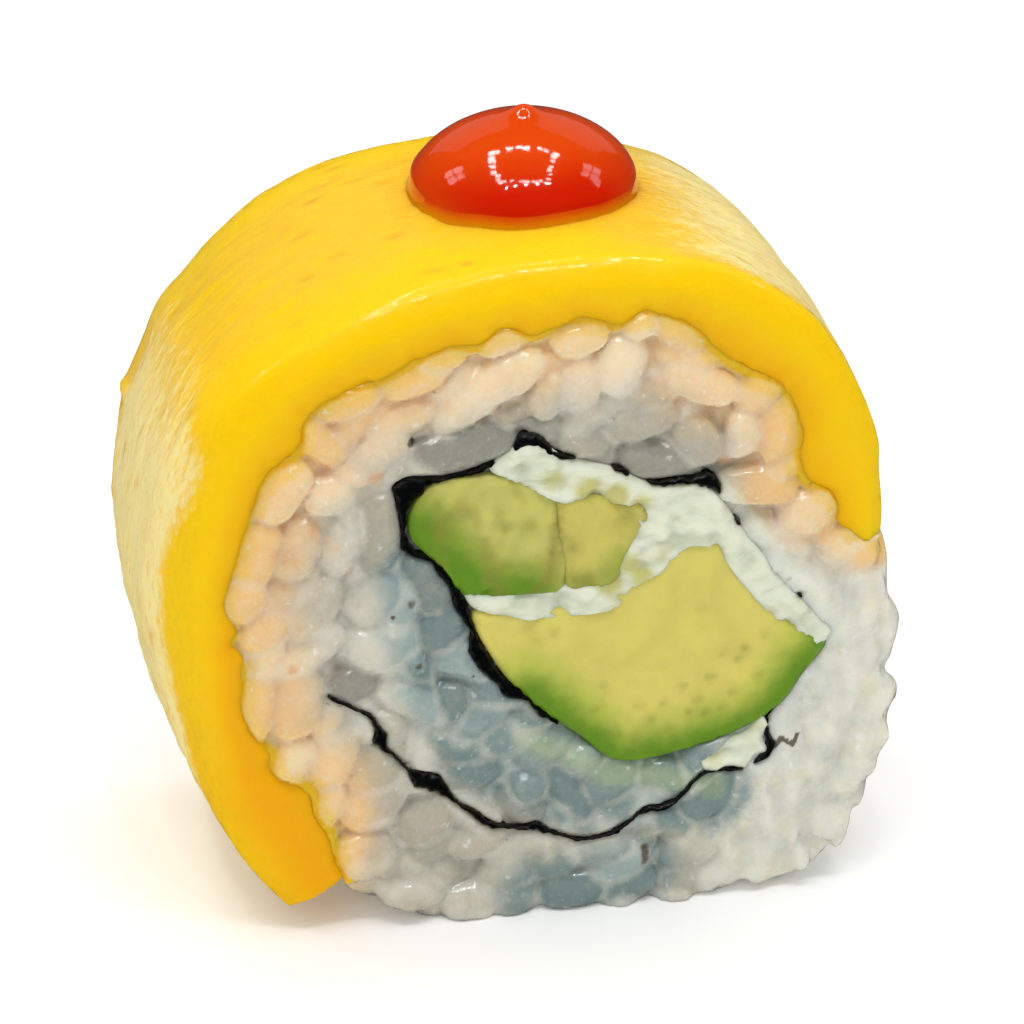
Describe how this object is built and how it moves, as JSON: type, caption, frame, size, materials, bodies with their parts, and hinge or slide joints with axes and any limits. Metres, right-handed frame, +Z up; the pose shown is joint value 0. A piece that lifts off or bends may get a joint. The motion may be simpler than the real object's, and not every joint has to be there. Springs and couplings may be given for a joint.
{
  "type": "mango sushi roll piece",
  "caption": "Thick slice of an inside-out sushi roll: rice round nori, avocado and cream cheese, wrapped over the top in mango with a drop of sauce.",
  "frame": {"origin": "centre of the piece's bounding box on the surface it rests on", "axes": "+Z up, +Y along the roll's axis from the cut face that shows to the back one, +X to the right seen from the front"},
  "size_m": [0.0479, 0.0242, 0.0496],
  "materials": {
    "rice": "moist, slightly translucent cooked rice",
    "mango": "moist fruit, pale creamy yellow outside and saturated yellow at the cut edge",
    "sauce": "glossy translucent orange-red sauce",
    "nori": "damp black-green seaweed sheet",
    "avocado": "smooth moist flesh, greener towards the skin side",
    "cheese": "soft, moist off-white"
  },
  "bodies": {
    "root": {"rice": "rice", "mango": "mango", "sauce_drop": "sauce", "nori": "nori", "avocado_large": "avocado", "avocado_left": "avocado", "avocado_middle": "avocado", "cream_cheese": "cheese", "cream_cheese_corner": "cheese"}
  },
  "joints": []
}
